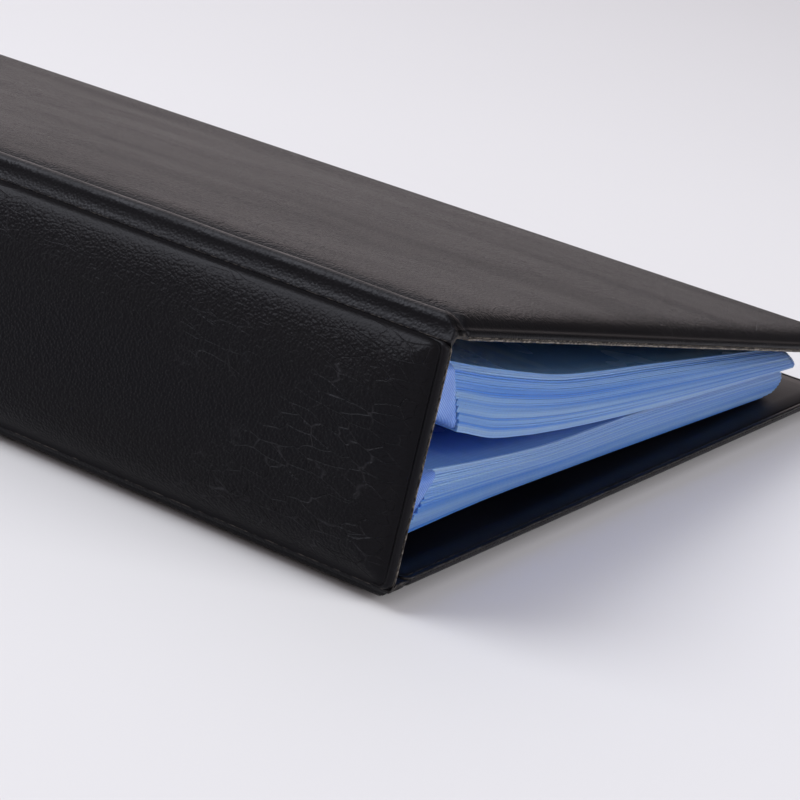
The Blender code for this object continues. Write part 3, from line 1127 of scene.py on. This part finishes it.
@dataclass
class LeafPattern:
    """One flat leaf: a divider between two films, welded in a grid of pockets open at a slit."""

    sizes: AlbumSizes
    width: float
    tab: float = 0.011
    fore_margin: float = 0.0032
    end_margin: float = 0.0032
    seam: float = 0.0026
    columns: int = 4
    rows: int = 6
    film: float = 0.00012
    slit: float = 0.84
    root_run: float = 0.0085
    corner: float = 0.006
    buried: float = 0.0015
    weld_inset: float = 0.0019
    weld_pinch: float = 0.93

    def lines(self, start: float, end: float, count: int, extras: Sequence[float]) -> list[float]:
        """Places the grid's lines across a run of pockets.

        Args:
            start: where the first pocket starts.
            end: where the last pocket ends.
            count: how many pockets there are.
            extras: lines outside the pockets.

        Returns:
            Rising places.
        """
        pitch = (end - start + self.seam) / count
        shares = (0.0, 0.06, 0.2, 0.5, 0.8, self.slit, self.slit + 0.02, 0.95, 1.0)
        places = list(extras)
        for pocket in range(count):
            low = start + pocket * pitch
            places += [low + share * (pitch - self.seam) for share in shares]
        return sorted(places)

    def share_in(self, place: np.ndarray, start: float, end: float, count: int) -> np.ndarray:
        """How far across its pocket each place is, or -1 on a seam."""
        pitch = (end - start + self.seam) / count
        local = (place - start) % pitch / (pitch - self.seam)
        outside = (place < start - 1e-9) | (place > end + 1e-9) | (local > 1 + 1e-6)
        return np.where(outside, -1.0, local)

    def ply(self, layer: int) -> bpy.types.Object:
        """Makes one of the leaf's three films, flat.

        Args:
            layer: -1 below, 0 for the divider, 1 above.

        Returns:
            The film.
        """
        half = self.sizes.leaf_length / 2
        root = (-self.buried, 0.0, 0.002, 0.0045, self.root_run)
        fore = (self.width - self.weld_inset, self.width - self.weld_inset / 2, self.width)
        along = self.lines(self.tab, self.width - self.fore_margin, self.columns, root + fore)
        edge = (half, half - self.weld_inset / 3, half - self.weld_inset)
        ends = tuple(-place for place in edge) + edge
        across = self.lines(-half + self.end_margin, half - self.end_margin, self.rows, ends)
        deselect_all()
        cells = {"x_subdivisions": len(along) - 1, "y_subdivisions": len(across) - 1}
        bpy.ops.mesh.primitive_grid_add(size=1.0, **cells)
        obj = bpy.context.object
        co = points_of(obj)
        i = np.rint((co[:, 0] + 0.5) * (len(along) - 1)).astype(int)
        j = np.rint((co[:, 1] + 0.5) * (len(across) - 1)).astype(int)
        x, y = np.array(along)[i], np.array(across)[j]
        column = self.share_in(x, self.tab, self.width - self.fore_margin, self.columns)
        row = self.share_in(y, -half + self.end_margin, half - self.end_margin, self.rows)
        inside = (column >= 0) & (row >= 0)
        dome = (1 - np.abs(2 * column - 1) ** 6) * (1 - np.abs(2 * row - 1) ** 6)
        covered = row < self.slit + 0.001
        loose = 1 - self.weld_pinch
        pinched = np.where(inside & covered, self.weld_pinch + loose * dome, self.weld_pinch)
        off_edge = np.minimum(half - np.abs(y), self.width - x) / self.weld_inset
        splay = np.maximum(pinched, 1 - loose * np.clip(off_edge, 0, 1))
        splay = np.maximum(splay, 1 - loose * np.clip(x / self.root_run, 0, 1))
        a = np.clip((x - (self.width - self.corner)) / self.corner, 0, 1)
        b = np.clip((np.abs(y) - (half - self.corner)) / self.corner, 0, 1)
        in_corner = (a > 0) & (b > 0)
        round_x = self.width - self.corner + self.corner * a * np.sqrt(1 - b * b / 2)
        round_y = np.sign(y) * (half - self.corner + self.corner * b * np.sqrt(1 - a * a / 2))
        co[:, 0] = np.where(in_corner, round_x, x)
        co[:, 1] = np.where(in_corner, round_y, y)
        co[:, 2] = 0.0
        move_points(obj, co)
        paint(obj, "seam", np.where(inside & (dome > 0.05), 0.0, 1.0))
        paint(obj, "rim", np.where((np.abs(y) > half - 1e-6) | (x > self.width - 1e-6), 1.0, 0.0))
        paint(obj, "splay", layer * splay)
        sheets = obj.data.uv_layers
        sheet = sheets[0] if sheets else sheets.new(name="leaf")
        sheet.name = "leaf"
        corners = np.empty(len(obj.data.loops), np.int32)
        obj.data.loops.foreach_get("vertex_index", corners)
        flat = np.stack([x, y], axis=1)[corners]
        sheet.data.foreach_set("uv", flat.ravel().astype(np.float32))
        return obj

    def build(self) -> bpy.types.Object:
        """Makes the flat leaf, with its root at x = 0.

        Returns:
            The flat leaf, to be copied.
        """
        films = [self.ply(layer) for layer in (-1, 0, 1)]
        take_up(films[0])
        for film in films:
            film.select_set(True)
        bpy.ops.object.join()
        obj = bpy.context.object
        obj.name = "leaf_pattern"
        apply_modifier(obj, "SOLIDIFY", thickness=self.film, offset=0.0)
        smooth(obj, 30)
        return obj


@dataclass(frozen=True)
class BlockShape:
    """How one block is bound to the spine and how its ten leaves lie, from below."""

    side: Side
    first_number: int
    # Heights of the root's lower and upper edges up the spine, at the spine and at its far end
    foot: tuple[float, float]
    end: tuple[float, float]
    # How far its lower and upper edges reach from the spine
    reach: tuple[float, float]
    # Shares of the gap between the covers where the lowest and the highest leaf lie
    pile: tuple[tuple[float, ...], tuple[float, ...]]
    # How far each leaf strays from an even stack, in leaves
    bunching: tuple[float, ...]
    # How far each leaf stands back from the near end
    setback: tuple[float, ...]
    # How pale each leaf's cut edge is painted; the lower block's paler top and darker bottom are a
    # painted highlight and painted shade
    light: tuple[float, ...]


LOWER_BLOCK = BlockShape(
    side=Side.LOWER,
    first_number=1,
    foot=(0.0040, 0.0150),
    end=(0.0044, 0.0154),
    reach=(0.0100, 0.0193),
    pile=((0.116, 0.117, 0.109, 0.045), (0.306, 0.286, 0.337, 0.400)),
    bunching=(0.0, 0.04, -0.04, 0.07, 0.0, -0.06, 0.04, 0.0, -0.05, 0.0),
    setback=(0.0011, 0.0005, 0.0001, 0.0, 0.0, 0.0002, 0.0004, 0.0008, 0.0014, 0.0022),
    # Painted light: the top leaves are painted paler as a highlight, the lowest darker as shade
    light=(0.0, 0.1, 0.3, 0.4, 0.3, 0.5, 0.6, 0.7, 0.95, 1.0),
)
UPPER_BLOCK = BlockShape(
    side=Side.UPPER,
    first_number=11,
    foot=(0.0272, 0.0370),
    end=(0.0225, 0.0354),
    reach=(0.0221, 0.0155),
    pile=((0.472, 0.429, 0.421, 0.529), (0.777, 0.718, 0.739, 0.866)),
    bunching=(0.0, -0.06, 0.05, 0.10, -0.05, 0.0, 0.08, 0.03, -0.08, 0.0),
    setback=(0.0003, 0.0, 0.0, 0.0001, 0.0002, 0.0004, 0.0006, 0.0010, 0.0016, 0.0026),
    light=(0.8, 0.4, 0.3, 0.5, 0.3, 0.4, 0.2, 0.3, 0.35, 0.5),
)


@dataclass
class LeafBlock:
    """Ten leaves and the fused root that binds them to the spine."""

    shape: BlockShape
    sizes: AlbumSizes
    pattern: bpy.types.Object
    leaf_finish: bpy.types.Material
    root_finish: bpy.types.Material
    leaves: int = 10
    gap: float = 0.0003
    splay: float = 0.333
    film_share: float = 0.315
    ripple: float = 0.03
    block_shoulder: float = 0.55
    root_setback: float = 0.0004
    root_rounding: float = 0.0014
    root_rings: int = 24
    # Places across the album that each leaf's curve passes, and how much it strays at each
    stations: Pairs = ((0.20, 0.5), (0.34, 1.0), (0.55, 0.6), (0.925, 0.15))
    # How soon a leaf takes up its ripple, from its root
    settling: float = 0.05
    # Shares of chance and of cloudiness in the tone of a film, and the clouds' rates
    film_tone: float = 0.5
    cloud_tone: float = 0.25
    cloud_rates: tuple[float, float] = (38.0, 9.0)
    # How far and how fast the films' near ends wander from the setback
    end_wander: float = 0.00006
    end_rate: float = 5.3
    bend_before: float = 0.0005
    bend_after: float = 0.009

    def curve(self, place: int) -> LeafCurve:
        """Finds how a leaf lies.

        Args:
            place: the leaf's place in the block, from below.

        Returns:
            Its curve.
        """
        sizes, shape = self.sizes, self.shape
        share = (place + 0.5) / self.leaves
        height, reach = (low + (high - low) * share for low, high in (shape.end, shape.reach))
        root = sizes.on_spine(height, reach + self.gap)
        knots = [(root.x, root.z)]
        lie = place / (self.leaves - 1)
        for (station, stray), low, high in zip(self.stations, *shape.pile):
            x = sizes.back_hinge.x + station * sizes.cover_depth
            drift = shape.bunching[place] * stray / (self.leaves - 1)
            knots.append((x, sizes.gap_height(x, low + (high - low) * (lie + drift))))
        return LeafCurve(tuple(knots))

    def build_leaf(self, place: int) -> bpy.types.Object:
        """Copies the flat leaf and lays it on its curve.

        Args:
            place: the leaf's place in the block, from below.

        Returns:
            The leaf.
        """
        number = self.shape.first_number + place
        obj = self.pattern.copy()
        obj.data = self.pattern.data.copy()
        obj.name = f"pocket_leaf_{number:02d}"
        obj.data.name = obj.name
        bpy.context.scene.collection.objects.link(obj)
        curve = self.curve(place)
        co = points_of(obj)
        x, y = co[:, 0], co[:, 1]
        distances, index = np.unique(np.round(x, 7), return_inverse=True)
        index = index.reshape(-1)
        walked = curve.walk(list(distances))
        points = np.array([tuple(point) for point, _ in walked])[index]
        across = np.array([tuple(normal) for _, normal in walked])[index]
        layer = np.empty(len(co), np.float32)
        obj.data.attributes["splay"].data.foreach_get("value", layer)
        ends = self.curve(0), self.curve(self.leaves - 1)
        spacing = []
        for point, _ in walked:
            bottom, top = (end.height(max(point.x, end.knots[0][0])) for end in ends)
            spacing.append((top - bottom) / (self.leaves - 1))
        pitch = np.array(spacing)[index]
        rng = random.Random(700 + number)
        waves = sines(rng, 4, (10, 60), (5, 40), (0, 6.28))
        settled = np.clip(x / self.settling, 0, 1)
        wave = sum(np.sin(a * y + b * x + phase) for a, b, phase in waves) / 4
        film = np.sign(co[:, 2]) * self.film_share * pitch / 2
        lift = film + layer * self.splay * pitch + settled * wave * self.ripple * pitch
        placed = points + across * lift[:, None]
        level = place + layer / 3
        setback = np.interp(level, range(self.leaves), self.shape.setback)
        setback = setback + self.end_wander * np.sin(self.end_rate * level)
        half = self.sizes.leaf_length / 2
        placed[:, 1] = y * (1 - setback / half * np.clip(-y / half, 0, 1))
        move_points(obj, placed)
        shades = [rng.random() for _ in range(3)]
        shade = np.array(shades)[np.clip(np.round(layer).astype(int) + 1, 0, 2)]
        a, b = self.cloud_rates
        patch = 0.5 + 0.5 * np.sin(a * x + b * y + number)
        # The tone adds each leaf's painted light (a painted highlight on the lower block's top,
        # painted shade at its bottom) to random film and cloud shades
        tone = self.film_tone * (shade - 0.5) + self.cloud_tone * (patch - 0.5)
        paint(obj, "tone", np.clip(self.shape.light[place] + tone, 0, 1))
        obj.data.materials.append(self.leaf_finish)
        root, normal = curve.walk([0.0])[0]
        body = f"leaf_{number:02d}"
        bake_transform(obj)
        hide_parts(body)
        return obj

    def build_root(self) -> bpy.types.Object:
        """Makes the fused root.

        Returns:
            The root.
        """
        sizes, shape, bend = self.sizes, self.shape, self.block_shoulder
        foot, end, reach = shape.foot, shape.end, shape.reach
        corners = [
            sizes.on_spine(foot[0], self.gap),
            sizes.on_spine(foot[0] + (end[0] - foot[0]) * bend**2, reach[0] * bend),
            sizes.on_spine(end[0], reach[0]),
            sizes.on_spine(end[1], reach[1]),
            sizes.on_spine(foot[1] + (end[1] - foot[1]) * bend**2, reach[1] * bend),
            sizes.on_spine(foot[1], self.gap),
        ]
        half = sizes.leaf_length / 2 - self.root_setback
        name = f"{shape.side.value}_fused_root"
        loft = Loft(name, [Vector((point.x, -half, point.z)) for point in corners])
        for step in range(1, self.root_rings + 1):
            y = -half + 2 * half * step / self.root_rings
            loft.draw_to([Vector((point.x, y, point.z)) for point in corners])
        loft.cap()
        loft.cap_first()
        obj = loft.done()
        limit = {"limit_method": "ANGLE", "angle_limit": math.radians(20)}
        apply_modifier(obj, "BEVEL", width=self.root_rounding, segments=4, **limit)
        smooth(obj, 40)
        obj.data.materials.append(self.root_finish)
        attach(obj, "spine")
        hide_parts(f"{shape.side.value}_binding_block")
        return obj

    def build(self) -> None:
        """Makes the block."""
        self.build_root()
        for place in range(self.leaves):
            self.build_leaf(place)
        LOG.info("block of leaves, %s", self.shape.side.value)


# ---- Studio


@dataclass(frozen=True)
class Glow:
    """A smooth change of the room's light towards one side."""

    direction: Colour
    # How alike a direction is to that side where the change starts and ends
    start: float
    end: float
    # Its values elsewhere and on that side
    away: float
    there: float

    def value(self, sheet: NodeSheet, place: Socket) -> Socket:
        """Adds the change to the world's nodes.

        Args:
            sheet: the world's nodes.
            place: the direction looked in.

        Returns:
            The value.
        """
        dot = {"operation": "DOT_PRODUCT"}
        likeness = sheet.add("ShaderNodeVectorMath", dot, i0=place, i1=self.direction)
        ends = {"i1": self.start, "i2": self.end, "i3": self.away, "i4": self.there}
        soft = {"interpolation_type": "SMOOTHSTEP"}
        change = sheet.add("ShaderNodeMapRange", soft, i0=likeness.outputs["Value"], **ends)
        return change.outputs[0]


@dataclass(frozen=True)
class SoftBox:
    """A square lamp: its place, what it points at, its side, its power in watts and colour."""

    name: str
    place: Colour
    aim: Colour
    size: float
    power: float
    colour: Colour

    def hang(self) -> None:
        """Hangs the lamp."""
        light = bpy.data.lights.new(self.name, "AREA")
        light.shape = "SQUARE"
        light.size = self.size
        light.energy = self.power
        light.color = self.colour
        lamp = bpy.data.objects.new(self.name, light)
        lamp.location = self.place
        towards = Vector(self.aim) - Vector(self.place)
        lamp.rotation_euler = towards.to_track_quat("-Z", "Y").to_euler()
        bpy.context.scene.collection.objects.link(lamp)


@dataclass
class Studio:
    """A pale table, soft light and the camera."""

    eye: Colour = (-0.4383, -0.3197, 0.1663)
    yaw: float = 60.53
    pitch: float = 18.28
    roll: float = 10.84
    lens: float = 113.5
    sensor: float = 36.0
    table_colour: Colour = (0.702, 0.700, 0.714)
    table_drop: float = 0.0002
    # The room's strength and tint at the horizon and overhead
    horizon_light: float = 0.30
    overhead_light: float = 0.66
    overhead_height: float = 0.7
    horizon_tint: Colour = (1.0, 0.84, 0.82)
    overhead_tint: Colour = (0.97, 0.98, 1.06)
    # What the camera itself sees behind the table
    wall_light: float = 0.80
    wall_tint: Colour = (0.97, 0.96, 0.99)
    backdrop: Glow = Glow((0.87, 0.49, 0.10), 0.45, 0.90, 0.0, 0.85)
    near_fill: Glow = Glow((-0.10, -0.94, 0.32), 0.40, 0.90, 0.0, 0.42)
    dark_card: Glow = Glow((0.82, -0.43, 0.37), 0.56, 0.90, 1.0, 0.02)
    lamps: tuple[SoftBox, ...] = (
        SoftBox("overhead_box", (-0.39, 0.56, 1.05), (0.0, 0.0, 0.0), 0.7, 9.6, (0.94, 0.97, 1.0)),
        SoftBox("near_box", (0.22, -1.08, 0.52), (0.0, -0.05, 0.0), 0.6, 4.8, (1.0, 1.0, 1.0)),
    )

    def table(self) -> None:
        """Lays the table top."""
        deselect_all()
        bpy.ops.mesh.primitive_plane_add(size=6.0, location=(0.0, 0.0, -self.table_drop))
        top = bpy.context.object
        top.name = "table_top"
        sheet = ShaderSheet("pale_table")
        cloud = sheet.noise(sheet.own_place(), 6.0, 2.0)
        lighter = tuple(min(1.0, 1.02 * part) for part in self.table_colour)
        sheet.set(Base_Color=sheet.blend(cloud, self.table_colour, lighter))
        sheet.set(Roughness=0.7, Specular_IOR_Level=0.2)
        top.data.materials.append(sheet.material)

    def world(self) -> None:
        """Fills the room with soft light, dimmer towards the horizon."""
        world = bpy.data.worlds.new("soft_room")
        world.use_nodes = True
        bpy.context.scene.world = world
        sheet = NodeSheet(world.node_tree)
        place = sheet.add("ShaderNodeTexCoord").outputs["Generated"]
        height = sheet.add("ShaderNodeSeparateXYZ", i0=place).outputs["Z"]
        ends = (0.0, self.overhead_height, self.horizon_light, self.overhead_light)
        strength = sheet.spread(height, *ends)
        strength = sheet.sum("ADD", strength, self.backdrop.value(sheet, place))
        strength = sheet.sum("ADD", strength, self.near_fill.value(sheet, place))
        strength = sheet.times(strength, self.dark_card.value(sheet, place))
        seen = sheet.add("ShaderNodeLightPath").outputs["Is Camera Ray"]
        shown = sheet.add("ShaderNodeMix", i0=seen, i2=strength, i3=self.wall_light)
        tint = sheet.blend(height, self.horizon_tint, self.overhead_tint)
        background = sheet.tree.nodes["Background"]
        sheet.put(shown.outputs[0], background.inputs["Strength"])
        sheet.put(sheet.blend(seen, tint, self.wall_tint), background.inputs["Color"])

    def camera(self) -> None:
        """Sets up the camera."""
        yaw, pitch, roll = (math.radians(angle) for angle in (self.yaw, self.pitch, self.roll))
        level = math.cos(pitch)
        look = Vector((math.sin(yaw) * level, math.cos(yaw) * level, -math.sin(pitch)))
        right = Vector((math.cos(yaw), -math.sin(yaw), 0.0))
        up = right.cross(look)
        across = math.cos(roll) * right + math.sin(roll) * up
        upwards = -math.sin(roll) * right + math.cos(roll) * up
        view = bpy.data.cameras.new("camera")
        view.lens = self.lens
        view.sensor_width = self.sensor
        view.clip_start = 0.01
        camera = bpy.data.objects.new("camera", view)
        columns = Matrix((across, upwards, -look)).transposed().to_4x4()
        camera.matrix_world = Matrix.Translation(self.eye) @ columns
        bpy.context.scene.collection.objects.link(camera)
        bpy.context.scene.camera = camera

    def build(self) -> None:
        """Sets up the table, the light and the camera."""
        self.table()
        self.world()
        for lamp in self.lamps:
            lamp.hang()
        self.camera()
        bpy.context.scene.view_settings.view_transform = "Standard"
        LOG.info("studio")


# ---- Album


def dress_hidden_layers(nodes: dict[str, bpy.types.Object]) -> None:
    """Gives the foam and board inside each panel their finishes.

    Args:
        nodes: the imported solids, by name.
    """
    foam = Stuffing("pale_foam", (0.50, 0.49, 0.45), (0.38, 0.37, 0.33), 1400.0, 0.0001).make()
    board = Stuffing("greyboard", (0.33, 0.30, 0.26), (0.24, 0.21, 0.18), 700.0, 0.00004).make()
    for name, node in nodes.items():
        finish = foam if name.endswith("_foam") else board if name.endswith("_board") else None
        if finish is not None:
            for slot in node.material_slots:
                slot.material = finish


def build_panels(sizes: AlbumSizes) -> None:
    """Makes the covers and the spine.

    Args:
        sizes: the album's sizes.
    """
    skin, liner = Leatherette().make(), LinerFilm().make()
    face_down = Matrix.Rotation(math.pi, 4, "X")
    upright = Matrix.Rotation(sizes.lean - math.pi / 2, 4, "Y")
    aslant = Matrix.Rotation(sizes.wedge, 4, "Y")
    depth, spacing = sizes.cover_depth, sizes.hinge_spacing
    panels = (
        # The back cover's cut edges are painted dark (0.15) as painted shade beneath the album
        ("back_cover", depth, False, face_down, sizes.back_hinge, 3, 0.15),
        ("spine", spacing, True, upright, sizes.back_hinge, 5, 1.0),
        ("front_cover", depth, False, aslant, sizes.front_hinge, 8, 1.0),
    )
    for name, reach, second_hinge, turn, hinge, seed, cut_light in panels:
        PaddedPanel(
            name=name,
            body=name,
            sizes=sizes,
            reach=reach,
            second_hinge=second_hinge,
            turn=turn,
            hinge=hinge,
            skin_finish=skin,
            liner_finish=liner,
            seed=seed,
            margins=sizes.spine_margins if second_hinge else (sizes.cover_margin, 0.0),
            cut_light=cut_light,
            edge=WELDED_EDGE if second_hinge else FULL_EDGE,
        ).build()


def build_hinges(sizes: AlbumSizes) -> None:
    """Makes the two strips that bend.

    Args:
        sizes: the album's sizes.
    """
    film = HingeFilm().make()
    low, high = sizes.spine_margins
    strips = (
        ("back_hinge", sizes.back_hinge, 0.0, -1, "back_cover", low),
        ("front_hinge", sizes.front_hinge, -sizes.wedge, 1, "front_cover", high),
    )
    for name, hinge, angle, outwards, cover, margin in strips:
        names = (f"{name}_film", f"{name}_strip")
        HingeStrip(*names, sizes, hinge, angle, outwards, cover, film, margin, FULL_EDGE).build()


def build_leaves(sizes: AlbumSizes) -> None:
    """Makes the two blocks of leaves.

    Args:
        sizes: the album's sizes.
    """
    pocket_film, fused = PocketFilm().make(), FusedFilm().make()
    pattern = LeafPattern(sizes, sizes.leaf_width).build()
    for shape in (LOWER_BLOCK, UPPER_BLOCK):
        LeafBlock(shape, sizes, pattern, pocket_film, fused).build()
    bpy.data.objects.remove(pattern, do_unlink=True)


def main() -> None:
    """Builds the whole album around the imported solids."""
    logging.basicConfig(level=logging.INFO, format="%(name)s: %(message)s")
    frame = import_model()
    sizes = AlbumSizes()
    dress_hidden_layers(frame["nodes"])
    build_panels(sizes)
    build_hinges(sizes)
    build_leaves(sizes)
    Studio().build()


if __name__ == "__main__":
    main()
